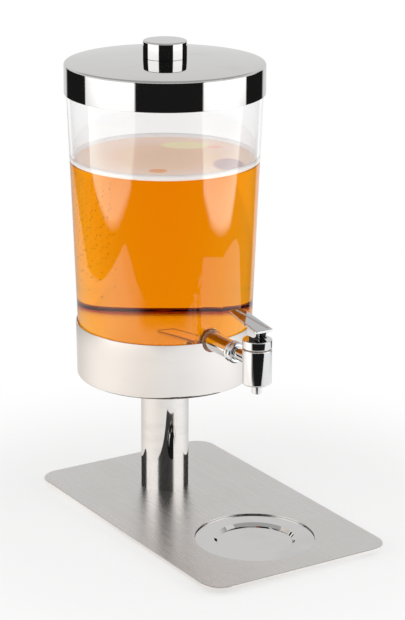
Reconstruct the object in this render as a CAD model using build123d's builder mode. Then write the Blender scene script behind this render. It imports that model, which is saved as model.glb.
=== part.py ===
from build123d import *
import math
import os

# Juice dispenser: a steel stand with a cooling bowl, a clear tapered container with a lever tap,
# and a lift-off lid. Millimetres, +Z up, tap towards -Y, origin under the middle of the outline.

# Base plate and feet
plate_length = 350.0
plate_width = 210.0
plate_thickness = 4.0
plate_corner_radius = 22.0
plate_edge_radius = 1.2
plate_lower_edge_radius = 0.5
column_setback = 90.3
foot_radius = 11.0
foot_height = 5.0
foot_draft = 10.0
foot_edge_radius = 0.8
foot_inset = 22.0
foot_screw_radius = 2.0
foot_screw_head_radius = 3.5
foot_screw_head_height = 2.0
foot_screw_recess = 3.0
foot_screw_bite = 2.8

# Column
column_radius = 25.0
column_wall = 2.0
column_height = 124.0
plug_height = 14.0
screw_count = 3
screw_circle_radius = 14.0
screw_radius = 2.5
screw_bite = 10.0
screw_head_radius = 4.6
screw_head_height = 2.6
screw_head_round = 1.0
countersink_angle = 90.0
first_screw_angle = 90.0

# Cooling bowl and cold pack
bowl_height = 58.0
bowl_wall = 1.5
bowl_draft = 0.9
bowl_edge_radius = 3.5
bowl_rim_radius = 0.4
pack_height = 34.0
pack_side_gap = 1.5
pack_edge_radius = 5.0
pack_recess_radius = 21.0
pack_recess_depth = 4.0
pack_grip_radius = 30.0
pack_grip_depth = 6.0
pack_grip_draft = 30.0

# Drip tray
tray_radius = 59.4
tray_sheet = 1.0
tray_drop = 1.4
tray_well_radius = 40.4
tray_well_depth = 3.0
tray_well_floor_radius = 37.4
tray_hole_margin = 2.0

# Container
container_height = 323.3
container_foot_radius = 88.0
container_rim_radius = 100.0
container_wall = 3.0
container_floor = 3.0
container_floor_radius = 2.5
container_rim_round = 1.4
skirt_height = 50.0
pad_width = 25.0
pad_rise = 95.0
pad_runout_angle = 4.0
sump_side_gap = 3.0
sump_lower_gap = 1.5
sump_depth = 24.0
sump_corner_radius = 5.0

# Tap
tap_rise = 4.0
valve_reach = 172.5
barrel_radius = 14.6
barrel_rise = 15.1
barrel_drop = 20.7
barrel_edge_radius = 1.5
cap_joint_radius = 1.0
nozzle_radius = 4.8
nozzle_length = 10.2
outlet_radius = 3.5
collar_radius = 9.6
collar_length = 35.5
bead_radius = 10.9
bead_round = 2.7
bead_spacing = 5.4
neck_radius = 6.2
shank_radius = 8.0
shank_tail = 2.0
inlet_radius = 4.5
gasket_radius = 11.2
gasket_thickness = 2.5
inner_gasket_radius = 11.8
inner_gasket_thickness = 2.2
nut_radius = 12.6
nut_thickness = 6.0
nut_sides = 6

# Valve inside the tap
chamber_radius = 10.2
chamber_base = 6.0
cap_height = 8.6
cap_edge_radius = 0.8
cap_spigot_length = 5.0
cap_seal_thickness = 0.9
cap_seal_inset = 0.2
stem_radius = 3.0
stem_flange_radius = 8.0
stem_flange_thickness = 2.0
stem_stub_radius = 2.0
stem_stub_length = 3.0
seal_radius = 8.6
seal_thickness = 4.0
seal_edge_radius = 1.0
tongue_thickness = 4.0
spring_radius = 6.0
spring_wire_radius = 0.5
spring_turns = 6

# Lever
pin_rise = 5.5
pin_radius = 1.25
lever_travel = 40.0
stem_lift = 2.4
lever_front = 12.6
lever_length = 52.9
lever_front_width = 19.8
lever_tip_width = 16.4
lever_thickness = 3.0
lever_tilt = 8.7
lever_front_height = 11.9
lever_corner_radius = 2.0
lever_tip_corner_radius = 3.2
lever_edge_radius = 0.8
thumb_margin = 2.6
thumb_depth = 1.1
thumb_draft = 45.0
thumb_corner_radius = 2.5
thumb_tip_radius = 1.6
skirt_width = 14.4
skirt_wall = 1.2
skirt_rise = 3.1
skirt_front = 7.0
skirt_lean = 13.0
skirt_back = 7.0
core_recess = 0.8
core_toe_height = 1.0
cam_steps = 6

# Lid
lid_skirt = 30.5
lid_wall = 1.0
lid_dome = 4.85
lid_edge_radius = 2.5
lid_rim_radius = 0.35
knob_radius = 22.2
knob_height = 17.25
knob_edge_radius = 1.6
knob_base_chamfer = 0.4
knob_screw_radius = 2.5
knob_screw_bite = 9.0
knob_washer_radius = 9.0
knob_washer_thickness = 1.2

# Clearances
seat_gap = 0.2
bowl_play = 0.4
lid_play = 0.4
tray_play = 0.4
notch_play = 0.6
running_gap = 0.05
fixed_gap = 0.02
hole_gap = 0.25
cam_gap = 0.2
side_gap = 0.2

# Heights worked out from the sizes above
plate_bottom = foot_height
plate_top = plate_bottom + plate_thickness
bowl_bottom = plate_top + column_height
bowl_floor = bowl_bottom + bowl_wall
bowl_rim = bowl_bottom + bowl_height
container_foot = bowl_floor + seat_gap
container_rim = container_foot + container_height
floor_bottom = container_foot + skirt_height
floor_top = floor_bottom + container_floor
tap_z = floor_top + tap_rise
lid_top = container_rim + seat_gap + lid_wall
lid_bottom = lid_top - lid_skirt
knob_base = lid_top + lid_dome

# Radii and places worked out from the sizes above
container_taper = (container_rim_radius - container_foot_radius) / container_height
taper_angle = math.degrees(math.atan(container_taper))


def container_radius(height):
    """Outer radius of the tapered container at a height."""
    return container_foot_radius + container_taper * (height - container_foot)


bowl_radius = container_radius(bowl_rim) + bowl_play + bowl_wall
lid_radius = container_rim_radius + lid_play + lid_wall
column_y = (plate_length - column_setback - lid_radius) / 2
plate_y = column_y + column_setback - plate_length / 2
valve_y = column_y - valve_reach
foot_spacing_x = plate_width - 2 * foot_inset
foot_spacing_y = plate_length - 2 * foot_inset
pad_reach = math.sqrt(container_radius(tap_z) ** 2 - (pad_width / 2) ** 2)
collar_face = column_y - pad_reach - gasket_thickness
inner_face = column_y - pad_reach + container_wall
nut_face = inner_face + inner_gasket_thickness
column_axis = Axis((0, column_y, 0), (0, 0, 1))
valve_axis = Axis((0, valve_y, 0), (0, 0, 1))


def facing(y, z=0.0):
    """Upright plane that faces the front: X across, Z up."""
    return Plane(origin=(0, y, z), x_dir=(1, 0, 0), z_dir=(0, -1, 0))


def from_below(y, z):
    """Level plane that faces down, for holes that start underneath."""
    return Plane(origin=(0, y, z), x_dir=(1, 0, 0), z_dir=(0, 0, -1))


def level(y, z):
    """Level plane that faces up, with its origin on the centre line."""
    return Plane(origin=(0, y, z), x_dir=(1, 0, 0), z_dir=(0, 0, 1))


def pan_screw(radius, length, head_radius, head_height):
    """Pan-head screw along Z, with its head above the origin and its shank below."""
    with BuildPart() as screw:
        with BuildSketch(Plane.XY):
            Circle(head_radius)
        extrude(amount=head_height)
        fillet(screw.faces().sort_by(Axis.Z)[-1].edges(), screw_head_round)
        with BuildSketch(Plane.XY):
            Circle(radius)
        extrude(amount=-length)
    return screw.part


def write_part(builder, name):
    """Label a finished piece and write it under its own name."""
    builder.part.label = name
    export_step(builder.part, f"parts/{name}.step")


os.makedirs("parts", exist_ok=True)

# Base plate: rounded rectangle with a stepped round seat for the drip tray
tray_seat_depth = tray_drop + tray_sheet + seat_gap
tray_hole_radius = tray_well_radius + tray_sheet + tray_hole_margin
with BuildPart() as base_plate:
    with BuildSketch(level(plate_y, plate_bottom)):
        RectangleRounded(plate_width, plate_length, plate_corner_radius)
    extrude(amount=plate_thickness)
    fillet(base_plate.faces().sort_by(Axis.Z)[-1].edges(), plate_edge_radius)
    fillet(base_plate.faces().sort_by(Axis.Z)[0].edges(), plate_lower_edge_radius)
    with BuildSketch(level(valve_y, plate_top)):
        Circle(tray_radius + tray_play)
    extrude(amount=-tray_seat_depth, mode=Mode.SUBTRACT)
    with BuildSketch(level(valve_y, plate_top)):
        Circle(tray_hole_radius)
    extrude(amount=-plate_thickness, mode=Mode.SUBTRACT)
    with Locations(from_below(column_y, plate_bottom)):
        with PolarLocations(screw_circle_radius, screw_count, first_screw_angle):
            CounterSinkHole(
                screw_radius + hole_gap,
                screw_head_radius + running_gap,
                depth=plate_thickness,
                counter_sink_angle=countersink_angle,
            )
    with Locations(from_below(plate_y, plate_bottom)):
        with GridLocations(foot_spacing_x, foot_spacing_y, 2, 2):
            Hole(foot_screw_radius + fixed_gap, depth=foot_screw_bite + hole_gap)
write_part(base_plate, "base_plate")

# Rubber feet: tapered pads with a sunk screw hole
with BuildPart() as rubber_feet:
    with BuildSketch(from_below(plate_y, plate_bottom)):
        with GridLocations(foot_spacing_x, foot_spacing_y, 2, 2):
            Circle(foot_radius)
    extrude(amount=foot_height, taper=foot_draft)
    fillet(rubber_feet.edges().group_by(Axis.Z)[0], foot_edge_radius)
    with Locations(from_below(plate_y, 0)):
        with GridLocations(foot_spacing_x, foot_spacing_y, 2, 2):
            CounterBoreHole(
                foot_screw_radius + fixed_gap,
                foot_screw_head_radius + hole_gap,
                foot_screw_recess,
                depth=foot_height,
            )
write_part(rubber_feet, "rubber_feet")

# Foot screws
foot_screw_length = foot_height - foot_screw_recess + foot_screw_bite
foot_screw = pan_screw(
    foot_screw_radius, foot_screw_length, foot_screw_head_radius, foot_screw_head_height
)
with BuildPart() as foot_screws:
    with Locations(from_below(plate_y, foot_screw_recess)):
        with GridLocations(foot_spacing_x, foot_spacing_y, 2, 2):
            add(foot_screw)
write_part(foot_screws, "foot_screws")

# Column tube, plugged at both ends for the screws
plug_radius = column_radius - column_wall - fixed_gap
with BuildPart() as column_tube:
    with BuildSketch(level(column_y, plate_top)):
        Circle(column_radius)
        Circle(column_radius - column_wall, mode=Mode.SUBTRACT)
    extrude(amount=column_height)
write_part(column_tube, "column_tube")

with BuildPart() as column_foot:
    with BuildSketch(level(column_y, plate_top)):
        Circle(plug_radius)
    extrude(amount=plug_height)
    with Locations(from_below(column_y, plate_top)):
        with PolarLocations(screw_circle_radius, screw_count, first_screw_angle):
            Hole(screw_radius + fixed_gap, depth=screw_bite + hole_gap)
write_part(column_foot, "column_foot")

with BuildPart() as column_head:
    with BuildSketch(level(column_y, bowl_bottom)):
        Circle(plug_radius)
    extrude(amount=-plug_height)
    with Locations(level(column_y, bowl_bottom)):
        with PolarLocations(screw_circle_radius, screw_count, first_screw_angle):
            Hole(screw_radius + fixed_gap, depth=screw_bite + hole_gap)
write_part(column_head, "column_head")

# Countersunk screws that hold the column to the plate from below
countersink_depth = (screw_head_radius - screw_radius) / math.tan(math.radians(countersink_angle / 2))
with BuildPart() as countersunk_screw:
    with BuildSketch(Plane.XZ):
        with BuildLine():
            Polyline(
                (0, 0),
                (screw_head_radius, 0),
                (screw_radius, -countersink_depth),
                (screw_radius, -plate_thickness - screw_bite),
                (0, -plate_thickness - screw_bite),
                close=True,
            )
        make_face()
    revolve(axis=Axis.Z)
with BuildPart() as column_screws:
    with Locations(from_below(column_y, plate_bottom)):
        with PolarLocations(screw_circle_radius, screw_count, first_screw_angle):
            add(countersunk_screw.part)
write_part(column_screws, "column_screws")

# Cooling bowl: drawn steel, with a notch in its rim for the tap
with BuildPart() as cooling_bowl:
    with BuildSketch(level(column_y, bowl_rim)):
        Circle(bowl_radius)
    extrude(amount=-bowl_height, taper=bowl_draft)
    fillet(cooling_bowl.faces().sort_by(Axis.Z)[0].edges(), bowl_edge_radius)
    offset(amount=-bowl_wall, openings=cooling_bowl.faces().sort_by(Axis.Z)[-1])
    fillet(cooling_bowl.faces().sort_by(Axis.Z)[-1].edges(), bowl_rim_radius)
    with BuildSketch(facing(column_y, tap_z)):
        Circle(gasket_radius + notch_play)
        with Locations((0, bowl_height / 2)):
            Rectangle(2 * (gasket_radius + notch_play), bowl_height)
    extrude(amount=2 * bowl_radius, mode=Mode.SUBTRACT)
    with Locations(level(column_y, bowl_floor)):
        with PolarLocations(screw_circle_radius, screw_count, first_screw_angle):
            Hole(screw_radius + hole_gap, depth=bowl_wall)
write_part(cooling_bowl, "cooling_bowl")

# Screws that hold the bowl to the column from inside
bowl_screw = pan_screw(screw_radius, bowl_wall + screw_bite, screw_head_radius, screw_head_height)
with BuildPart() as bowl_screws:
    with Locations(level(column_y, bowl_floor)):
        with PolarLocations(screw_circle_radius, screw_count, first_screw_angle):
            add(bowl_screw)
write_part(bowl_screws, "bowl_screws")

# Cold pack: freezer disc that lies in the bowl, hollowed below over the screw heads
with BuildPart() as cold_pack:
    with BuildSketch(level(column_y, bowl_floor)):
        Circle(container_foot_radius - container_wall - pack_side_gap)
    extrude(amount=pack_height)
    fillet(cold_pack.edges().filter_by(GeomType.CIRCLE), pack_edge_radius)
    with BuildSketch(level(column_y, bowl_floor)):
        Circle(pack_recess_radius)
    extrude(amount=pack_recess_depth, mode=Mode.SUBTRACT)
    with BuildSketch(level(column_y, bowl_floor + pack_height)):
        Circle(pack_grip_radius)
    extrude(amount=-pack_grip_depth, taper=pack_grip_draft, mode=Mode.SUBTRACT)
write_part(cold_pack, "cold_pack")

# Drip tray: pressed dish whose flange lies in the plate's seat
tray_top = plate_top - tray_drop
with BuildPart() as drip_tray:
    with BuildSketch(facing(valve_y)):
        with BuildLine():
            Polyline(
                (0, tray_top - tray_well_depth),
                (tray_well_floor_radius, tray_top - tray_well_depth),
                (tray_well_radius, tray_top),
                (tray_radius, tray_top),
                (tray_radius, tray_top - tray_sheet),
                (tray_well_radius + tray_sheet, tray_top - tray_sheet),
                (tray_well_floor_radius + tray_sheet, tray_top - tray_well_depth - tray_sheet),
                (0, tray_top - tray_well_depth - tray_sheet),
                close=True,
            )
        make_face()
    revolve(axis=valve_axis)
write_part(drip_tray, "drip_tray")


# Container: tapered wall with a flat pad for the tap, a raised floor and a sump in front of the tap
def pad_line(height, inset=0.0):
    """Y of the flat pad's face at a height, moved in by an inset."""
    return column_y - pad_reach - container_taper * (height - tap_z) + inset


def pad_points(inset):
    """Side outline of what lies in front of the pad, running out into the wall at its top."""
    pad_top = tap_z + pad_rise
    runout_slope = math.tan(math.radians(taper_angle + pad_runout_angle))
    runout_rise = container_height - (pad_top - container_foot)
    return [
        (pad_line(container_foot - container_wall, inset), container_foot - container_wall),
        (pad_line(pad_top, inset), pad_top),
        (pad_line(pad_top, inset) - runout_slope * runout_rise, container_rim),
        (column_y - 2 * container_rim_radius, container_rim),
        (column_y - 2 * container_rim_radius, container_foot - container_wall),
    ]


def cone_points(bottom, top, inset):
    """Half section of the container's taper between two heights, moved in by an inset."""
    return [
        (0, bottom),
        (container_radius(bottom) - inset, bottom),
        (container_radius(top) - inset, top),
        (0, top),
    ]


sump_floor = tap_z - nut_radius - sump_lower_gap
sump_bottom = sump_floor - container_floor
sump_top = floor_top + container_floor_radius
sump_width = 2 * (nut_radius + sump_side_gap)
with BuildPart() as sump_pocket:
    with BuildSketch(facing(column_y)):
        with BuildLine():
            Polyline(*cone_points(sump_floor, sump_top, container_wall), close=True)
        make_face()
    revolve(axis=column_axis)
    with BuildSketch(level(inner_face, sump_floor)):
        RectangleRounded(sump_width, 2 * sump_depth, sump_corner_radius)
    extrude(amount=sump_top - sump_floor, mode=Mode.INTERSECT)

with BuildPart() as container_cavity:
    with BuildSketch(facing(column_y)):
        with BuildLine():
            Polyline(
                *cone_points(floor_top, container_rim + container_wall, container_wall), close=True
            )
        make_face()
    revolve(axis=column_axis)
    fillet(container_cavity.edges().group_by(Axis.Z)[0], container_floor_radius)
    add(sump_pocket.part)
    with BuildSketch(Plane.YZ):
        with BuildLine():
            Polyline(*pad_points(container_wall), close=True)
        make_face()
    extrude(amount=container_rim_radius, both=True, mode=Mode.SUBTRACT)

with BuildPart() as skirt_cavity:
    with BuildSketch(facing(column_y)):
        with BuildLine():
            Polyline(
                *cone_points(container_foot - container_wall, floor_bottom, container_wall), close=True
            )
        make_face()
    revolve(axis=column_axis)
    with BuildSketch(level(inner_face, sump_bottom)):
        RectangleRounded(
            sump_width + 2 * container_wall,
            2 * (sump_depth + container_wall),
            sump_corner_radius + container_wall,
        )
    extrude(amount=floor_bottom - sump_bottom, mode=Mode.SUBTRACT)
    with BuildSketch(Plane.YZ):
        with BuildLine():
            Polyline(*pad_points(container_wall), close=True)
        make_face()
    extrude(amount=container_rim_radius, both=True, mode=Mode.SUBTRACT)

with BuildPart() as container:
    with BuildSketch(facing(column_y)):
        with BuildLine():
            Polyline(*cone_points(container_foot, container_rim, 0), close=True)
        make_face()
    revolve(axis=column_axis)
    with BuildSketch(Plane.YZ):
        with BuildLine():
            Polyline(*pad_points(0), close=True)
        make_face()
    extrude(amount=container_rim_radius, both=True, mode=Mode.SUBTRACT)
    add(container_cavity.part, mode=Mode.SUBTRACT)
    add(skirt_cavity.part, mode=Mode.SUBTRACT)
    fillet(container.edges().group_by(Axis.Z)[-1], container_rim_round)
    with BuildSketch(facing(column_y, tap_z)):
        Circle(shank_radius + hole_gap)
    extrude(amount=2 * container_rim_radius, mode=Mode.SUBTRACT)
write_part(container, "container")

# Tap body: barrel, nozzle and a stepped shank with two beads that passes through the container wall
barrel_top = tap_z + barrel_rise
barrel_bottom = tap_z - barrel_drop
nozzle_bottom = barrel_bottom - nozzle_length
chamber_floor = barrel_bottom + chamber_base
shank_end = nut_face + nut_thickness + shank_tail
first_bead = collar_face - collar_length - bead_round
second_bead = first_bead - bead_spacing
shank_steps = [
    (shank_radius, shank_end, collar_face),
    (collar_radius, collar_face, second_bead),
    (neck_radius, second_bead, valve_y),
]
with BuildPart() as tap_body:
    with BuildSketch(level(valve_y, barrel_top)):
        Circle(barrel_radius)
    extrude(amount=barrel_bottom - barrel_top)
    fillet(tap_body.faces().sort_by(Axis.Z)[0].edges(), barrel_edge_radius)
    fillet(tap_body.faces().sort_by(Axis.Z)[-1].edges(), cap_joint_radius)
    with BuildSketch(level(valve_y, barrel_bottom)):
        Circle(nozzle_radius)
    extrude(amount=-nozzle_length)
    for step_radius, step_start, step_end in shank_steps:
        with BuildSketch(facing(step_start, tap_z)):
            Circle(step_radius)
        extrude(amount=step_start - step_end)
    for bead_y in (first_bead, second_bead):
        with Locations(facing(bead_y, tap_z)):
            Torus(bead_radius - bead_round, bead_round)
    with BuildSketch(level(valve_y, chamber_floor)):
        Circle(chamber_radius)
    extrude(amount=barrel_top - chamber_floor, mode=Mode.SUBTRACT)
    with BuildSketch(level(valve_y, nozzle_bottom)):
        Circle(outlet_radius)
    extrude(amount=chamber_floor - nozzle_bottom, mode=Mode.SUBTRACT)
    with BuildSketch(facing(shank_end, tap_z)):
        Circle(inlet_radius)
    extrude(amount=shank_end - valve_y, mode=Mode.SUBTRACT)
write_part(tap_body, "tap_body")

# Gaskets either side of the wall, wedge-shaped to take up its slope, and the lock nut inside
wall_outside = Plane(origin=(0, pad_line(tap_z), tap_z), x_dir=(1, 0, 0), z_dir=(0, -1, -container_taper))
wall_inside = Plane(
    origin=(0, pad_line(tap_z, container_wall), tap_z), x_dir=(1, 0, 0), z_dir=(0, 1, container_taper)
)
gasket_slant = 2 * gasket_radius * container_taper
with BuildPart() as outer_gasket:
    with BuildSketch(facing(collar_face, tap_z)):
        Circle(gasket_radius)
        Circle(shank_radius + fixed_gap, mode=Mode.SUBTRACT)
    extrude(amount=-gasket_thickness - gasket_slant)
    split(bisect_by=wall_outside, keep=Keep.TOP)
write_part(outer_gasket, "outer_gasket")

with BuildPart() as inner_gasket:
    with BuildSketch(facing(nut_face, tap_z)):
        Circle(inner_gasket_radius)
        Circle(shank_radius + fixed_gap, mode=Mode.SUBTRACT)
    extrude(amount=inner_gasket_thickness + gasket_slant)
    split(bisect_by=wall_inside, keep=Keep.TOP)
write_part(inner_gasket, "inner_gasket")

with BuildPart() as lock_nut:
    with BuildSketch(facing(nut_face, tap_z)):
        RegularPolygon(nut_radius, nut_sides)
        Circle(shank_radius + fixed_gap, mode=Mode.SUBTRACT)
    extrude(amount=-nut_thickness)
write_part(lock_nut, "lock_nut")

# Tap cap: closes the barrel, guides the stem and is the lever's stop face
cap_bottom = barrel_top + cap_seal_thickness
cap_top = cap_bottom + cap_height
spigot_bottom = barrel_top - cap_spigot_length
spigot_radius = chamber_radius - fixed_gap
with BuildPart() as tap_cap:
    with BuildSketch(level(valve_y, cap_bottom)):
        Circle(barrel_radius)
    extrude(amount=cap_height)
    fillet(tap_cap.faces().sort_by(Axis.Z)[-1].edges(), cap_edge_radius)
    fillet(tap_cap.faces().sort_by(Axis.Z)[0].edges(), cap_joint_radius)
    with BuildSketch(level(valve_y, cap_bottom)):
        Circle(spigot_radius)
    extrude(amount=spigot_bottom - cap_bottom)
    with Locations(level(valve_y, cap_top)):
        Hole(stem_radius + running_gap, depth=cap_top - spigot_bottom)
write_part(tap_cap, "tap_cap")

with BuildPart() as cap_seal:
    with BuildSketch(level(valve_y, barrel_top)):
        Circle(barrel_radius - cap_joint_radius - cap_seal_inset)
        Circle(chamber_radius, mode=Mode.SUBTRACT)
    extrude(amount=cap_seal_thickness)
write_part(cap_seal, "cap_seal")

# Valve seal: silicone disc that closes the outlet
seal_bottom = chamber_floor + seat_gap
seal_top = seal_bottom + seal_thickness
with BuildPart() as valve_seal:
    with BuildSketch(level(valve_y, seal_bottom)):
        Circle(seal_radius)
    extrude(amount=seal_thickness)
    fillet(valve_seal.faces().sort_by(Axis.Z)[0].edges(), seal_edge_radius)
    with Locations(level(valve_y, seal_top)):
        Hole(stem_stub_radius + fixed_gap, depth=stem_stub_length)
write_part(valve_seal, "valve_seal")

# Valve stem: flange on the seal, rod through the cap, and a flat tongue for the lever's pin
flange_top = seal_top + stem_flange_thickness
pin_z = cap_top + pin_rise
tongue_bottom = cap_top - stem_lift - cam_gap
with BuildPart() as valve_stem:
    with BuildSketch(level(valve_y, seal_top)):
        Circle(stem_flange_radius)
    extrude(amount=stem_flange_thickness)
    with BuildSketch(level(valve_y, seal_top)):
        Circle(stem_stub_radius)
    extrude(amount=-stem_stub_length)
    with BuildSketch(level(valve_y, flange_top)):
        Circle(stem_radius)
    extrude(amount=tongue_bottom - flange_top)
    with BuildSketch(level(valve_y, tongue_bottom)):
        Circle(stem_radius)
        Rectangle(tongue_thickness, 2 * stem_radius, mode=Mode.INTERSECT)
    extrude(amount=pin_z - tongue_bottom)
    with BuildSketch(Plane(origin=(0, valve_y, pin_z), x_dir=(0, 1, 0), z_dir=(1, 0, 0))):
        Circle(math.sqrt(stem_radius**2 - (tongue_thickness / 2) ** 2))
    extrude(amount=tongue_thickness / 2, both=True)
    with BuildSketch(Plane(origin=(0, valve_y, pin_z), x_dir=(0, 1, 0), z_dir=(1, 0, 0))):
        Circle(pin_radius + running_gap)
    extrude(amount=tongue_thickness, both=True, mode=Mode.SUBTRACT)
write_part(valve_stem, "valve_stem")

# Valve spring: coil between the stem's flange and the cap, each half turn a pair of tangent arcs
spring_bottom = flange_top + spring_wire_radius + running_gap
spring_top = spigot_bottom - spring_wire_radius - running_gap
spring_pitch = (spring_top - spring_bottom) / spring_turns


def coil_point(turn):
    """Point on the coil's centre line after a number of turns."""
    angle = 2 * math.pi * turn
    across = spring_radius * math.cos(angle)
    along = spring_radius * math.sin(angle)
    return Vector(across, valve_y + along, spring_bottom + spring_pitch * turn)


def coil_direction(turn):
    """Unit vector along the coil after a number of turns."""
    angle = 2 * math.pi * turn
    climb = spring_pitch / (2 * math.pi * spring_radius)
    return Vector(-math.sin(angle), math.cos(angle), climb).normalized()


def arc_reach(chord, start_way, end_way):
    """Tangent length of the two equal arcs that join two directions over a chord."""
    both_ways = start_way + end_way
    spread = 2 * (1 - start_way.dot(end_way))
    along = chord.dot(both_ways)
    return (math.sqrt(along**2 + spread * chord.dot(chord)) - along) / spread


with BuildLine() as coil_path:
    for half_turn in range(2 * spring_turns):
        start = coil_point(half_turn / 2)
        end = coil_point((half_turn + 1) / 2)
        start_way = coil_direction(half_turn / 2)
        end_way = coil_direction((half_turn + 1) / 2)
        reach = arc_reach(end - start, start_way, end_way)
        first_corner = start + start_way * reach
        second_corner = end - end_way * reach
        middle = (first_corner + second_corner) / 2
        TangentArc(start, middle, tangent=start_way)
        TangentArc(middle, end, tangent=second_corner - first_corner)
with BuildPart() as valve_spring:
    with BuildSketch(Plane(origin=coil_point(0), z_dir=coil_direction(0))):
        Circle(spring_wire_radius)
    sweep(path=coil_path.wires()[0])
write_part(valve_spring, "valve_spring")
print(f"valve spring: gap between turns {spring_pitch - 2 * spring_wire_radius:.2f} mm")

# Lever: thumb plate with a skirt under it that is open to the front and below
tilt = math.radians(lever_tilt)
lean_slope = math.tan(math.radians(skirt_lean))
front_top = lever_front_height - pin_rise


def plate_underside(along):
    """Height above the pin of the thumb plate's underside, at a distance behind the pin."""
    return front_top + (along + lever_front) * math.tan(tilt) - lever_thickness / math.cos(tilt)


def skirt_edge(height):
    """Distance behind the pin of the skirt's leaning front edge, at a height above the pin."""
    return (plate_underside(-skirt_front) - height) * lean_slope - skirt_front


pin_plane = Plane(origin=(0, valve_y, pin_z), x_dir=(0, 1, 0), z_dir=(1, 0, 0))
thumb_plane = Plane(
    origin=(0, valve_y - lever_front, cap_top + lever_front_height),
    x_dir=(1, 0, 0),
    z_dir=(0, -math.sin(tilt), math.cos(tilt)),
)
front_corner = lever_front_width / 2 - lever_corner_radius
tip_corner = lever_tip_width / 2 - lever_tip_corner_radius
tip_row = lever_length - lever_tip_corner_radius
thumb_corner = lever_front_width / 2 - thumb_margin - thumb_corner_radius
thumb_front = thumb_margin + thumb_corner_radius
thumb_tip = lever_length - thumb_margin - thumb_tip_radius
skirt_bottom = skirt_rise - pin_rise
hollow_back = skirt_back - skirt_wall
hollow_half = skirt_width / 2 - skirt_wall
with BuildPart() as lever:
    with BuildSketch(thumb_plane):
        with Locations((-tip_corner, tip_row), (tip_corner, tip_row)):
            Circle(lever_tip_corner_radius)
        with Locations((-front_corner, lever_corner_radius), (front_corner, lever_corner_radius)):
            Circle(lever_corner_radius)
        make_hull()
    extrude(amount=-lever_thickness)
    fillet(lever.faces().sort_by(Axis.Z)[-1].edges(), lever_edge_radius)
    with BuildSketch(thumb_plane):
        with Locations((0, thumb_tip)):
            Circle(thumb_tip_radius)
        with Locations((-thumb_corner, thumb_front), (thumb_corner, thumb_front)):
            Circle(thumb_corner_radius)
        make_hull()
    extrude(amount=-thumb_depth, taper=thumb_draft, mode=Mode.SUBTRACT)
    with BuildSketch(pin_plane):
        with BuildLine():
            Polyline(
                (skirt_edge(skirt_bottom), skirt_bottom),
                (-skirt_front, plate_underside(-skirt_front)),
                (skirt_back, plate_underside(skirt_back)),
                (skirt_back, skirt_bottom),
                close=True,
            )
        make_face()
    extrude(amount=skirt_width / 2, both=True)
    with BuildSketch(pin_plane):
        with BuildLine():
            Polyline(
                (-lever_front, skirt_bottom - skirt_wall),
                (-lever_front, plate_underside(-lever_front)),
                (hollow_back, plate_underside(hollow_back)),
                (hollow_back, skirt_bottom - skirt_wall),
                close=True,
            )
        make_face()
    extrude(amount=hollow_half, both=True, mode=Mode.SUBTRACT)
write_part(lever, "lever")

# Lever core: plastic block in the skirt that turns on the pin and rides on the cap.
# Its foot is the involute of a circle, so it lifts the stem in step with the lever's angle.
cam_rate = stem_lift / math.radians(lever_travel)
cam_base = pin_rise - cam_gap


def cam_point(turned):
    """Point of the cam, about the pin, that faces the cap when the lever has turned."""
    reach = cam_base + cam_rate * turned
    forward = reach * math.sin(turned) + cam_rate * math.cos(turned)
    downward = reach * math.cos(turned) - cam_rate * math.sin(turned)
    return (-forward, -downward)


cam_outline = [cam_point(math.radians(lever_travel) * step / cam_steps) for step in range(cam_steps + 1)]
toe_front, toe_bottom = cam_outline[-1]
core_top_front = core_recess - skirt_front
core_back = hollow_back - fixed_gap
core_half = hollow_half - fixed_gap
slot_half = tongue_thickness / 2 + side_gap
slot_top = stem_radius + cam_gap
with BuildPart() as lever_core:
    with BuildSketch(pin_plane):
        with BuildLine():
            Spline(*cam_outline)
            Polyline(
                (toe_front, toe_bottom),
                (toe_front, toe_bottom + core_toe_height),
                (skirt_edge(skirt_bottom) + core_recess, skirt_bottom),
                (core_top_front, plate_underside(core_top_front) - fixed_gap),
                (core_back, plate_underside(core_back) - fixed_gap),
                (core_back, -cam_base),
                cam_outline[0],
            )
        make_face()
    extrude(amount=core_half, both=True)
    with BuildSketch(facing(valve_y, pin_z)):
        with Locations((0, (slot_top - pin_rise) / 2)):
            Rectangle(2 * slot_half, slot_top + pin_rise)
    extrude(amount=2 * lever_front, both=True, mode=Mode.SUBTRACT)
    with BuildSketch(pin_plane):
        Circle(pin_radius + fixed_gap)
    extrude(amount=skirt_width, both=True, mode=Mode.SUBTRACT)
write_part(lever_core, "lever_core")

# Pin that hangs the lever on the stem, kept in by the skirt's cheeks
with BuildPart() as pivot_pin:
    with BuildSketch(pin_plane):
        Circle(pin_radius)
    extrude(amount=core_half, both=True)
write_part(pivot_pin, "pivot_pin")

# Lid: spun shell with a low dome and a flat seat for the knob
with BuildPart() as lid_shell:
    with BuildSketch(facing(column_y)) as lid_profile:
        with BuildLine():
            Line((0, knob_base), (knob_radius, knob_base))
            TangentArc((knob_radius, knob_base), (lid_radius, lid_top), tangent=(1, 0))
            Polyline((lid_radius, lid_top), (lid_radius, lid_bottom), (0, lid_bottom), (0, knob_base))
        make_face()
        fillet(lid_profile.vertices().group_by(Axis.X)[-1].sort_by(Axis.Y)[-1], lid_edge_radius)
    revolve(axis=column_axis)
    offset(amount=-lid_wall, openings=lid_shell.faces().sort_by(Axis.Z)[0])
    fillet(lid_shell.faces().sort_by(Axis.Z)[0].edges(), lid_rim_radius)
    with Locations(level(column_y, knob_base)):
        Hole(knob_screw_radius + hole_gap, depth=lid_wall)
write_part(lid_shell, "lid_shell")

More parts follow.
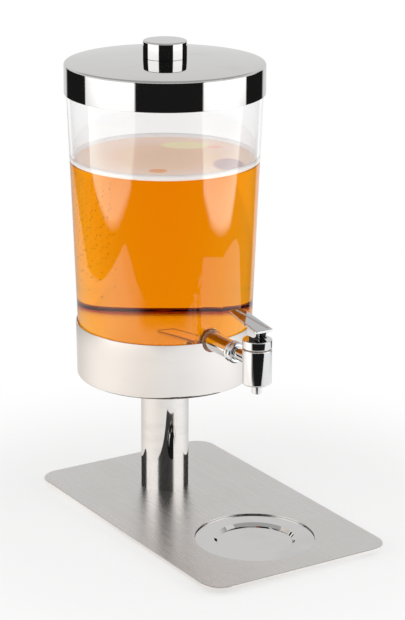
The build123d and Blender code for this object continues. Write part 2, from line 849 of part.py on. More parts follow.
# Knob, held from inside the lid
with BuildPart() as knob:
    with BuildSketch(level(column_y, knob_base)):
        Circle(knob_radius)
    extrude(amount=knob_height)
    fillet(knob.faces().sort_by(Axis.Z)[-1].edges(), knob_edge_radius)
    chamfer(knob.faces().sort_by(Axis.Z)[0].edges(), knob_base_chamfer)
    with Locations(from_below(column_y, knob_base)):
        Hole(knob_screw_radius + fixed_gap, depth=knob_screw_bite + hole_gap)
write_part(knob, "knob")

washer_bottom = knob_base - lid_wall - knob_washer_thickness
with BuildPart() as knob_washer:
    with BuildSketch(level(column_y, washer_bottom)):
        Circle(knob_washer_radius)
        Circle(knob_screw_radius + hole_gap, mode=Mode.SUBTRACT)
    extrude(amount=knob_washer_thickness)
write_part(knob_washer, "knob_washer")

knob_screw_length = knob_washer_thickness + lid_wall + knob_screw_bite
lid_screw = pan_screw(knob_screw_radius, knob_screw_length, screw_head_radius, screw_head_height)
with BuildPart() as knob_screw:
    with Locations(from_below(column_y, washer_bottom)):
        add(lid_screw)
write_part(knob_screw, "knob_screw")
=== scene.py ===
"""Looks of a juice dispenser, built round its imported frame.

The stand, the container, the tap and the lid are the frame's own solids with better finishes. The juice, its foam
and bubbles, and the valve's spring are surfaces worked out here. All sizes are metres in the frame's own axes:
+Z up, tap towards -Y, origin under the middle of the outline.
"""

import logging
import math
from dataclasses import dataclass, field, replace
from enum import Enum
from functools import partial, reduce

import bpy
import numpy as np
from mathutils import Matrix, Vector

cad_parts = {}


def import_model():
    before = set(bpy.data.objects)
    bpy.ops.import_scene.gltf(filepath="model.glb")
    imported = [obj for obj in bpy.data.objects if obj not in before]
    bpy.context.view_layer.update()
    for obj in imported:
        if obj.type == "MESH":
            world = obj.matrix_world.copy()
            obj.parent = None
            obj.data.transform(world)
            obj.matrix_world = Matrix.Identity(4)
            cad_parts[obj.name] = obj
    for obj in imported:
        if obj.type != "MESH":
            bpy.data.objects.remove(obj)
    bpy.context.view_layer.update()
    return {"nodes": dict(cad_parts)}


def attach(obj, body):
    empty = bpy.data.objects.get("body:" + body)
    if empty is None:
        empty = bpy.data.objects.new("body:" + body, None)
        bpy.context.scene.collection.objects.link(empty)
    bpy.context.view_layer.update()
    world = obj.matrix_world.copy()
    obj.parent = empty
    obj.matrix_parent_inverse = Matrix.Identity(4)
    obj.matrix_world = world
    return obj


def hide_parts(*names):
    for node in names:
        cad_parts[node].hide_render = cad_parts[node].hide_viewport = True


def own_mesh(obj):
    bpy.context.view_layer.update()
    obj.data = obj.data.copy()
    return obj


log = logging.getLogger("dispenser")

Array = np.ndarray
Colour = tuple[float, float, float]
Point = tuple[float, float, float]
Span = tuple[float, float]
Ease = tuple[float, float, float, float]
Material = bpy.types.Material
Piece = bpy.types.Object
Nodes = dict[str, Piece]
Socket = bpy.types.NodeSocket
Outputs = bpy.types.NodeOutputs
Value = Socket | float
Values = dict[int | str, object]

AXIS_Y = 0.07915
FOOT = 0.1347
FOOT_RADIUS = 0.088
TAPER = 0.012 / 0.3233
WALL = 0.003
FLOOR_TOP = 0.1877
JUICE_TOP = 0.3603
PAD_MIDDLE = 0.1917
PAD_RISE = 0.095

WHITE: Colour = (1.0, 1.0, 1.0)
BLACK: Colour = (0.0, 0.0, 0.0)
ORIGIN: Point = (0.0, 0.0, 0.0)
AXIS: Point = (0.0, AXIS_Y, 0.0)
EVEN: Point = (1.0, 1.0, 1.0)
LEVEL: Point = (1.0, 1.0, 0.0)
UP = np.array([0.0, 0.0, 1.0])
USUAL_NOISE: Span = (0.3, 0.7)
BUBBLE_STEPS = (0.7548777, 0.5698403, 0.8191725)
CLEAR_BOUNCES = 32
MIRROR_BOUNCES = 12


def sweep(low: float, high: float, start: float, end: float) -> Ease:
    """An easing over an angle that is given in degrees."""
    return math.radians(low), math.radians(high), start, end


class Graph:
    """A node tree, written one node at a time."""

    def __init__(self, tree: bpy.types.NodeTree) -> None:
        """Start from an empty tree of a material or a world."""
        self.tree = tree
        tree.nodes.clear()

    def node(self, kind: str, inputs: Values | None = None, **settings: object) -> Outputs:
        """Add a node.

        Args:
            kind: Blender's name for the node, after the word ShaderNode.
            inputs: What goes in, by an input's name or place: a socket, a number, a colour or a vector.
            settings: Properties to set on it.

        Returns:
            The node's outputs.
        """
        made = self.tree.nodes.new("ShaderNode" + kind)
        for name, setting in settings.items():
            setattr(made, name, setting)
        for place, value in (inputs or {}).items():
            socket = made.inputs[place]
            if isinstance(value, Socket):
                self.tree.links.new(value, socket)
            elif socket.type == "RGBA":
                socket.default_value = (*value, 1.0)
            else:
                socket.default_value = value
        return made.outputs

    def math(self, operation: str, first: Value, second: Value = 0.0) -> Socket:
        """The result of a Math node, where a comparison holds to within a half."""
        return self.node("Math", {0: first, 1: second, 2: 0.5}, operation=operation)[0]

    def times(self, *values: Value) -> Socket:
        """The product of two or more values."""
        return reduce(partial(self.math, "MULTIPLY"), values)

    def vector(self, operation: str, first: object, second: object = ORIGIN) -> Outputs:
        """The outputs of a Vector Math node; second is a vector, or the factor of a scale."""
        place = "Scale" if operation == "SCALE" else 1
        return self.node("VectorMath", {0: first, place: second}, operation=operation)

    def length(self, where: Socket) -> Socket:
        """The length of a vector."""
        return self.vector("LENGTH", where)["Value"]

    def along(self, where: Socket, axis: Array) -> Socket:
        """How far a vector reaches along an axis."""
        return self.vector("DOT_PRODUCT", where, tuple(axis))["Value"]

    def split(self, where: Socket) -> Outputs:
        """A vector's X, Y and Z."""
        return self.node("SeparateXYZ", {0: where})

    def ramp(self, value: Value, low: float, high: float, start: Value = 0.0, end: Value = 1.0) -> Socket:
        """Ease from start to end while a value goes from low to high."""
        numbers = dict(enumerate((value, low, high, start, end)))
        return self.node("MapRange", numbers, interpolation_type="SMOOTHSTEP")[0]

    def vary(self, pattern: Socket, start: float = 0.0, end: float = 1.0) -> Socket:
        """Ease from start to end over a noise pattern's usual range."""
        return self.ramp(pattern, *USUAL_NOISE, start, end)

    def pick(self, flag: Socket, without: Value, given: Value) -> Socket:
        """One of two values, by a flag that is 0 or 1."""
        return self.ramp(flag, 0.0, 1.0, without, given)

    def place(self, scale: Point = EVEN, centre: Point = ORIGIN) -> Socket:
        """Object coordinates, measured from a centre and then scaled on each axis."""
        moved = self.vector("SUBTRACT", self.node("TexCoord")["Object"], centre)["Vector"]
        return self.vector("MULTIPLY", moved, scale)["Vector"]

    def noise(self, where: Socket, scale: float, detail: float, rough: float = 0.5) -> Socket:
        """A noise pattern from 0 to 1; detail counts its finer layers and rough says how strong they are."""
        inputs = {"Vector": where, "Scale": scale, "Detail": detail, "Roughness": rough}
        return self.node("TexNoise", inputs)["Fac"]

    def blend(self, share: Value, first: object, second: object) -> Socket:
        """Mix two colours by the second one's share."""
        return self.node("Mix", {0: share, 6: first, 7: second}, data_type="RGBA")[2]

    def bump(self, height: Socket, depth: float, normal: Socket | None = None) -> Socket:
        """Turn a height pattern into a surface normal.

        Args:
            height: The pattern, from 0 to 1.
            depth: The height of its full range, in metres.
            normal: The normal to start from, if it isn't the mesh's own.

        Returns:
            The normal's socket.
        """
        inputs = {"Height": height, "Distance": depth, "Strength": 1.0}
        if normal is not None:
            inputs["Normal"] = normal
        return self.node("Bump", inputs)["Normal"]

    def ray(self, kind: str) -> Socket:
        """What the light path says of a ray."""
        return self.node("LightPath")[kind]

    def once(self) -> Socket:
        """1 on a ray that has been mirrored just once, otherwise 0."""
        return self.math("COMPARE", self.ray("Glossy Depth"), 1.0)

    def glow(self, colour: object, strength: Value) -> Socket:
        """A shader that gives light."""
        return self.node("Emission", {"Color": colour, "Strength": strength})[0]

    def mix(self, share: Value, first: Socket, second: Socket) -> Socket:
        """Mix two shaders by the second one's share."""
        return self.node("MixShader", {0: share, 1: first, 2: second})[0]

    def let_through(self, shader: Socket, tint: Colour) -> Socket:
        """Let lamp light and scattered light pass a clear shader, tinted but not bent."""
        share = self.math("MAXIMUM", self.ray("Is Shadow Ray"), self.ray("Is Diffuse Ray"))
        return self.mix(share, shader, self.node("BsdfTransparent", {"Color": tint})[0])


def new_graph(name: str) -> tuple[Material, Graph]:
    """Make an empty material.

    Args:
        name: The material's name.

    Returns:
        The material and its nodes.
    """
    made = bpy.data.materials.new(name)
    made.use_nodes = True
    return made, Graph(made.node_tree)


@dataclass(frozen=True)
class Finish:
    """What every finish has: a name, and a Principled shader with values that each kind works out."""

    name: str

    def material(self) -> Material:
        """Make the finish as a material.

        Returns:
            The material, made once for each name.
        """
        found = bpy.data.materials.get("finish_" + self.name)
        if found is not None:
            return found
        made, graph = new_graph("finish_" + self.name)
        shader = graph.node("BsdfPrincipled", self.values(graph))[0]
        graph.node("OutputMaterial", self.ends(graph, shader))
        return made

    def values(self, graph: Graph) -> Values:
        """The shader's values, by the names of its inputs."""
        raise NotImplementedError

    def ends(self, graph: Graph, shader: Socket) -> Values:
        """What goes into the material's output: here the shader alone."""
        return {"Surface": shader}


@dataclass(frozen=True)
class Mottled(Finish):
    """A plain finish whose tint, gloss and height follow one noise pattern.

    Where clumped is set, the tint changes over as short a range of the pattern as the gloss.
    """

    low: Colour
    high: Colour
    scale: float
    gloss: Span
    layers: float = 3.0
    stretch: Point = EVEN
    depth: float = 0.0
    metal: float = 0.0
    clear: float = 0.0
    index: float = 1.41
    clumped: bool = False

    def values(self, graph: Graph) -> Values:
        """Mix two tints by the pattern, and vary the roughness and the height with it.

        Args:
            graph: The material's nodes.

        Returns:
            The shader's values.
        """
        pattern = graph.noise(graph.place(self.stretch), self.scale, self.layers)
        share = graph.vary(pattern) if self.clumped else pattern
        found: Values = {
            "Base Color": graph.blend(share, self.low, self.high),
            "Roughness": graph.vary(pattern, *self.gloss),
            "Metallic": self.metal,
        }
        if self.clear:
            found |= {"Transmission Weight": self.clear, "IOR": self.index}
        if self.depth:
            found["Normal"] = graph.bump(pattern, self.depth)
        return found


@dataclass(frozen=True)
class BrushedSteel(Finish):
    """Satin steel: long fine scratches on one grain, and a slow cloudiness.

    The grain is given as the scratches' repeats in a metre on each axis.
    """

    grain: Point = (1500.0, 9.0, 1500.0)
    pale: Colour = (0.77, 0.750, 0.732)
    dull: Colour = (0.735, 0.712, 0.690)
    streaked: float = 0.55
    worn: Span = (0.25, 0.75)
    smooth: float = 0.24
    coarse: float = 0.38
    scratch: float = 0.000007

    def values(self, graph: Graph) -> Values:
        """Scratches set the roughness and the normal, the cloudiness sets the tint.

        Args:
            graph: The material's nodes.

        Returns:
            The shader's values.
        """
        streak = graph.noise(graph.place(self.grain), scale=1.0, detail=4.0, rough=0.65)
        cloud = graph.noise(graph.place(), scale=16.0, detail=3.0)
        cloudy = graph.times(cloud, 1 - self.streaked)
        tone = graph.math("ADD", graph.times(streak, self.streaked), cloudy)
        return {
            "Base Color": graph.blend(graph.vary(tone), self.dull, self.pale),
            "Metallic": 1.0,
            "Roughness": graph.ramp(streak, *self.worn, self.smooth, self.coarse),
            "Normal": graph.bump(streak, self.scratch),
        }


@dataclass(frozen=True)
class MirrorSteel(Finish):
    """Polished steel: nearly a mirror, with faint wiping marks."""

    tint: Colour = (0.70, 0.692, 0.684)
    smudge: Colour = (0.64, 0.632, 0.622)
    smudged: Span = (0.45, 0.8)
    dulled: Span = (0.4, 0.85)
    clean: float = 0.03
    wiped: float = 0.085
    wave: float = 0.00001
    lean: float = 0.0

    def values(self, graph: Graph) -> Values:
        """Wiping marks dull the mirror, and a slow wave and a lean bend its reflections a little.

        Args:
            graph: The material's nodes.

        Returns:
            The shader's values.
        """
        wipe = graph.noise(graph.place((1.0, 1.0, 3.0)), scale=22.0, detail=5.0, rough=0.6)
        slow = graph.noise(graph.place(), scale=9.0, detail=1.0)
        leaning = graph.times(graph.split(graph.place())["Z"], self.lean)
        return {
            "Base Color": graph.blend(graph.ramp(wipe, *self.smudged), self.tint, self.smudge),
            "Metallic": 1.0,
            "Roughness": graph.ramp(wipe, *self.dulled, self.clean, self.wiped),
            "Normal": graph.bump(graph.math("ADD", graph.times(slow, self.wave), leaning), 1.0),
        }


@dataclass(frozen=True)
class ClearPlastic(Finish):
    """Clear moulded plastic that light from lamps passes.

    Its lengths say where the wall's inner half and the floor's underside begin, where the corner round the floor
    lies, whose dark brown is painted shade, and how deep the wall's faces are made even.
    """

    tint: Colour = (0.985, 0.982, 0.982)
    # corner: painted shade, the dark brown put on the plastic in the corner round the floor
    corner: Colour = (0.45, 0.32, 0.25)
    under: Colour = (0.80, 0.77, 0.77)
    index: float = 1.57
    wave: float = 0.000004
    half: float = 0.65 * WALL
    underside: float = 0.3 * WALL
    # where the painted corner shade lies: its rise over the floor, its half height and its reach in from the wall
    corner_shade_rise: float = 0.0008
    corner_shade_half: float = 0.002
    corner_shade_reach: float = 0.0045
    even_depth: float = 0.75 * WALL
    even_facing: float = 0.985
    pad_edge: Ease = (0.012, 0.013, 1.0, 0.0)
    pad_top: Ease = (PAD_MIDDLE + PAD_RISE - FOOT, PAD_MIDDLE + PAD_RISE + 0.014 - FOOT, 1.0, 0.0)

    def slant(self, graph: Graph, apart: Outputs, away: Socket, middle: Socket) -> Socket:
        """Even normal of both faces of the wall, whatever triangles the mesh has there.

        With x and y from the axis and r = sqrt(x x + y y), a cone's normal is (x, y, -taper r), made one long, and
        the pad's is (0, -r, -taper r). The first eases into the second at the pad. Elsewhere the mesh's own stays.

        Args:
            graph: The material's nodes.
            apart: The object coordinates, each by itself, with Z from the container's foot.
            away: The distance from the axis.
            middle: The distance from the axis at which the wall's inner half begins.

        Returns:
            The normal's socket.
        """
        across, along = apart["X"], graph.math("SUBTRACT", apart["Y"], AXIS_Y)
        narrow = graph.ramp(graph.math("ABSOLUTE", across), *self.pad_edge)
        front = graph.math("LESS_THAN", along, 0.0)
        flat = graph.times(graph.ramp(apart["Z"], *self.pad_top), narrow, front)
        leaning: Values = {
            0: graph.times(across, graph.math("SUBTRACT", 1.0, flat)),
            1: graph.math("SUBTRACT", along, graph.times(flat, graph.math("ADD", along, away))),
            2: graph.times(away, -TAPER),
        }
        unit = graph.vector("NORMALIZE", graph.node("CombineXYZ", leaning)[0])["Vector"]
        own = graph.node("NewGeometry")["Normal"]
        facing = graph.vector("DOT_PRODUCT", own, unit)["Value"]
        even = graph.vector("SCALE", unit, graph.math("SIGN", facing))["Vector"]
        level = graph.math("GREATER_THAN", graph.math("ABSOLUTE", facing), self.even_facing)
        outer = graph.math("GREATER_THAN", away, graph.math("SUBTRACT", middle, self.even_depth))
        return graph.blend(graph.times(level, outer), own, even)

    def values(self, graph: Graph) -> Values:
        """Clear shader with a slow moulding wave.

        Where the juice wets the inside, the wall hardly mirrors: the juice is nearly as dense as the plastic. The
        floor's underside is a little dull, and the corner round the floor is tinted dark brown as painted shade.

        Args:
            graph: The material's nodes.

        Returns:
            The shader's values.
        """
        slow = graph.noise(graph.place((1.0, 1.0, 0.4)), scale=14.0, detail=2.0)
        away = graph.length(graph.place(LEVEL, AXIS))
        apart = graph.split(graph.place(centre=(0.0, 0.0, FOOT)))
        height = apart["Z"]
        middle = graph.math("ADD", graph.times(height, TAPER), FOOT_RADIUS - self.half)
        inside = graph.math("LESS_THAN", away, middle)
        below = graph.math("LESS_THAN", height, FLOOR_TOP - self.underside - FOOT)
        wet = graph.times(inside, graph.math("LESS_THAN", height, JUICE_TOP - FOOT))
        # mark the corner round the floor, which gets the painted shade
        over = graph.math("SUBTRACT", height, FLOOR_TOP + self.corner_shade_rise - FOOT)
        near = graph.math("LESS_THAN", graph.math("ABSOLUTE", over), self.corner_shade_half)
        ring = graph.math("GREATER_THAN", away, graph.math("SUBTRACT", middle, self.corner_shade_reach))
        return {
            # painted shade: dark brown in the corner round the floor
            "Base Color": graph.blend(graph.times(near, ring, inside), self.tint, self.corner),
            "Specular Tint": graph.blend(wet, WHITE, graph.blend(below, BLACK, self.under)),
            "Transmission Weight": 1.0,
            "Roughness": 0.0,
            "IOR": self.index,
            "Normal": graph.bump(slow, self.wave, self.slant(graph, apart, away, middle)),
        }

    def ends(self, graph: Graph, shader: Socket) -> Values:
        """Shadow and diffuse rays go straight through."""
        return {"Surface": graph.let_through(shader, self.tint)}


@dataclass(frozen=True)
class Juice(Finish):
    """Clear amber juice: it takes blue first, then green."""

    index: float = 1.345
    colour: Colour = (0.987, 0.8305, 0.02)
    density: float = 45.0
    shade: Colour = (0.93, 0.6, 0.15)

    def values(self, graph: Graph) -> Values:
        """Clear surface, unmirrored where it wets the plastic."""
        clear: Values = {"Transmission Weight": 1.0, "Roughness": 0.0, "IOR": self.index}
        return clear | {"Base Color": WHITE, "Specular Tint": BLACK}

    def ends(self, graph: Graph, shader: Socket) -> Values:
        """A body that absorbs light; shadow and diffuse rays go straight through its surface."""
        body = graph.node("VolumeAbsorption", {"Color": self.colour, "Density": self.density})[0]
        return {"Surface": graph.let_through(shader, self.shade), "Volume": body}


@dataclass(frozen=True)
class Patch:
    """A soft-edged ellipsoid where the foam has another colour.

    It has a middle, half sizes, its first axis's angle from X in degrees, and the share of its size that fades.
    """

    centre: Point
    reach: Point
    colour: Colour
    turn: float = -32.0
    soft: float = 0.2

    def mask(self, graph: Graph) -> Socket:
        """Mark the patch: 1 inside, 0 outside.

        Args:
            graph: The material's nodes.

        Returns:
            The mask's socket.
        """
        inputs = {"Vector": graph.place(centre=self.centre), "Angle": math.radians(-self.turn)}
        turned = graph.node("VectorRotate", inputs, rotation_type="Z_AXIS")[0]
        away = graph.length(graph.vector("DIVIDE", turned, self.reach)["Vector"])
        return graph.ramp(away, 1 - self.soft, 1 + self.soft, 1.0, 0.0)


@dataclass(frozen=True)
class Foam(Finish):
    """Thin foam on the juice: painted shade in the middle, painted light towards the wall, and a few odd patches."""

    # painted shade of the lid over the middle, and painted light coming in through the wall at the edge
    shaded_middle: Colour = (0.93, 0.68, 0.50)
    lit_edge: Colour = (0.90, 0.74, 0.65)
    spread: Span = (0.030, 0.090)
    drifting: float = 0.35
    bubbles: float = 900.0
    gloss: Span = (0.25, 0.45)
    shine: float = 0.1
    depth: float = 0.00008
    milkiness: float = 0.006
    glow: float = 0.17
    patches: tuple[Patch, ...] = ()

    def values(self, graph: Graph) -> Values:
        """Colour runs from painted shade in the middle to painted light at the wall with the distance from the
        middle, over a slow drift and fine bubbles.

        A faint glow stands for the light that comes up through the juice.

        Args:
            graph: The material's nodes.

        Returns:
            The shader's values.
        """
        drift = graph.noise(graph.place((1.0, 2.0, 1.0)), scale=20.0, detail=4.0, rough=0.6)
        cell = graph.noise(graph.place(), scale=self.bubbles, detail=2.0)
        # painted light and shade: paler with the distance from the middle
        share = graph.ramp(graph.length(graph.place(LEVEL, AXIS)), *self.spread)
        moved = graph.times(graph.math("SUBTRACT", drift, 0.5), self.drifting)
        share = graph.ramp(graph.math("ADD", share, moved), 0.0, 1.0)
        colour = graph.blend(share, self.shaded_middle, self.lit_edge)
        for patch in self.patches:
            colour = graph.blend(patch.mask(graph), colour, patch.colour)
        return {
            "Base Color": colour,
            "Roughness": graph.vary(cell, *self.gloss),
            "Specular IOR Level": self.shine,
            "Subsurface Weight": 1.0,
            "Subsurface Radius": WHITE,
            "Subsurface Scale": self.milkiness,
            "Emission Color": colour,
            "Emission Strength": self.glow,
            "Normal": graph.bump(cell, self.depth),
        }


BRUSHED_PLATE = BrushedSteel("brushed_plate")
MIRROR_STEEL = MirrorSteel("mirror_steel")
COLUMN_STEEL = MirrorSteel("column_steel", tint=(0.72, 0.702, 0.686), smudge=(0.66, 0.642, 0.624))
BOWL_STEEL = MirrorSteel(
    "bowl_steel", tint=(0.73, 0.705, 0.682), smudge=(0.715, 0.69, 0.667), clean=0.06, wiped=0.10, lean=0.022
)
TAP_CHROME = MirrorSteel("tap_chrome", tint=(0.74, 0.742, 0.75), smudge=(0.70, 0.70, 0.71), wiped=0.06)
CLEAR_PLASTIC = ClearPlastic("clear_plastic")
AMBER_JUICE = Juice("amber_juice")
FOAM_TOP = Foam(
    "foam_top",
    patches=(
        Patch((0.0452, 0.1138, 0.362), (0.0240, 0.0165, 0.02), (1.0, 0.95, 0.56), -36.0),
        Patch((0.0670, 0.0922, 0.362), (0.0075, 0.0050, 0.02), (1.0, 0.52, 0.42), -34.0, 0.5),
        Patch((-0.0362, 0.0324, 0.362), (0.0088, 0.0080, 0.02), (0.83, 0.40, 0.17)),
        Patch((0.0378, 0.0200, 0.362), (0.0150, 0.0256, 0.02), (0.52, 0.42, 0.44)),
    ),
)
FOAM_RIM = Foam("foam_rim", shaded_middle=(0.88, 0.83, 0.83), lit_edge=(0.88, 0.83, 0.83), glow=0.16)
# painted shade: the bubbles are opaque beads in dark brown, for clear air bubbles that look dark in the juice
BUBBLE = Mottled(
    "bubble", (0.03, 0.012, 0.004), (0.16, 0.06, 0.01), scale=150.0, layers=1.0, gloss=(0.1, 0.3), clumped=True
)
BLACK_RUBBER = Mottled(
    "black_rubber", (0.012, 0.012, 0.013), (0.035, 0.034, 0.033), scale=1400.0, gloss=(0.6, 0.85), depth=0.00005
)
BLACK_PLASTIC = Mottled(
    "black_plastic", (0.010, 0.009, 0.010), (0.022, 0.019, 0.020), scale=300.0, gloss=(0.32, 0.5), depth=0.00002
)
# painted light: the amber is the juice's colour seen through the milky silicone, put into the silicone's own colour
MILKY_SILICONE = Mottled(
    "milky_silicone", (0.86, 0.50, 0.30), (0.96, 0.66, 0.46), scale=180.0, gloss=(0.06, 0.16), clear=0.75
)
PLAIN_STEEL = Mottled(
    "plain_steel", (0.42, 0.415, 0.41), (0.55, 0.545, 0.54), scale=420.0, stretch=(1.0, 1.0, 6.0), gloss=(0.22, 0.4),
    depth=0.00001, metal=1.0,
)
SPRING_STEEL = replace(PLAIN_STEEL, name="spring_steel", low=(0.48, 0.47, 0.45), high=(0.60, 0.59, 0.57))
PACK_PLASTIC = Mottled(
    "pack_plastic", (0.62, 0.68, 0.75), (0.74, 0.78, 0.82), scale=260.0, layers=4.0, gloss=(0.4, 0.6), depth=0.0002
)


def columns(*parts: object) -> Array:
    """Set arrays side by side as the last axis; a number lasts for the whole column."""
    return np.stack(np.broadcast_arrays(*parts), axis=-1)


def profile(*runs: tuple[object, ...]) -> Array:
    """Set runs of columns one after another, and give each whole column as rings by one."""
    return np.concatenate([columns(*run) for run in runs]).T[..., None]


def new_piece(name: str, points: Array, faces: list[Array]) -> Piece:
    """Make a smooth piece at the origin.

    Args:
        name: The piece's name.
        points: Its points, as points by three.
        faces: Arrays of faces by corners, as numbers of points.

    Returns:
        The piece.
    """
    mesh = bpy.data.meshes.new(name)
    mesh.from_pydata(points.tolist(), [], [face for part in faces for face in part.tolist()])
    mesh.update()
    mesh.shade_smooth()
    made = bpy.data.objects.new(name, mesh)
    bpy.context.scene.collection.objects.link(made)
    return made


def join_rings(rings: Array, first: Array | None, last: Array | None) -> tuple[Array, list[Array]]:
    """Join closed rings of points into a surface, with a point at either end where one is given.

    The faces between ring i and ring i + 1 take points j and j + 1 of each, counted round, so the surface has no
    seam. A pole joins its point to every pair of neighbours on the nearest ring.

    Args:
        rings: Points, as rings by points by three.
        first: The pole before the first ring, or None.
        last: The pole after the last ring, or None.

    Returns:
        The points, and arrays of faces.
    """
    count, around = rings.shape[:2]
    here = np.arange(count * around).reshape(count, around)
    beside = np.roll(here, -1, axis=1)
    faces = [columns(here[:-1], beside[:-1], beside[1:], here[1:]).reshape(-1, 4)]
    points = [rings.reshape(-1, 3)]
    for pole, sides in ((first, (beside[0], here[0])), (last, (here[-1], beside[-1]))):
        if pole is not None:
            faces.append(columns(sum(len(part) for part in points), *sides))
            points.append(np.reshape(pole, (1, 3)))
    return np.concatenate(points), faces


def ring_mesh(name: str, rings: Array, first: Array | None, last: Array | None) -> Piece:
    """Make a piece of closed rings and the poles at their ends."""
    return new_piece(name, *join_rings(rings, first, last))


def bead_mesh(name: str, centres: Array, radii: Array, around: int = 6) -> Piece:
    """Many small beads as one surface.

    A bead's points are centre + radius * unit, with two rings of unit points at heights -0.5 and 0.5 and poles at
    -1 and 1.

    Args:
        name: The piece's name.
        centres: The beads' middles, as beads by three.
        radii: Their radii.
        around: The points of a ring.

    Returns:
        The piece.
    """
    turn = np.linspace(0.0, 2 * np.pi, around, endpoint=False)
    rise = 0.5
    ring = columns(np.cos(turn), np.sin(turn), 0.0) * math.sqrt(1 - rise**2)
    unit, faces = join_rings(np.stack([ring - rise * UP, ring + rise * UP]), -UP, UP)
    points = centres[:, None, :] + radii[:, None, None] * unit
    shift = len(unit) * np.arange(len(centres))[:, None, None]
    every = [(part + shift).reshape(-1, part.shape[-1]) for part in faces]
    return new_piece(name, points.reshape(-1, 3), every)


def dress(piece: Piece, *finishes: Finish) -> None:
    """Give a piece its finishes, one for each of its material slots.

    Args:
        piece: A new piece or one of the frame's own.
        finishes: The finishes, in the order of the slots.
    """
    piece.data.materials.clear()
    for finish in finishes:
        piece.data.materials.append(finish.material())
    log.info("dressed %s in %s", piece.name, ", ".join(finish.name for finish in finishes))


@dataclass
class Part:
    """A sub-assembly: the frame's own solids, and surfaces where it adds any."""

    nodes: Nodes

    def build(self) -> None:
        """Add nothing, where every shape is the frame's own."""

    def paint(self, finish: Finish, *names: str) -> None:
        """Give several of the frame's own pieces one finish."""
        for name in names:
            dress(self.nodes[name], finish)


@dataclass
class Stand(Part):
    """Plate, feet, column and bowl, with what lies inside them."""

    def dress(self) -> None:
        """Brush the plate, polish the column and the bowl, and finish the hidden pieces."""
        self.paint(BRUSHED_PLATE, "base_plate")
        self.paint(COLUMN_STEEL, "column_tube")
        self.paint(BOWL_STEEL, "cooling_bowl")
        self.paint(BLACK_RUBBER, "rubber_feet")
        self.paint(PACK_PLASTIC, "cold_pack")
        self.paint(PLAIN_STEEL, "foot_screws", "column_screws", "column_foot", "column_head", "bowl_screws")


@dataclass
class DripTray(Part):
    """The polished dish in the plate."""

    def dress(self) -> None:
        """Polish the tray."""
        self.paint(MIRROR_STEEL, "drip_tray")


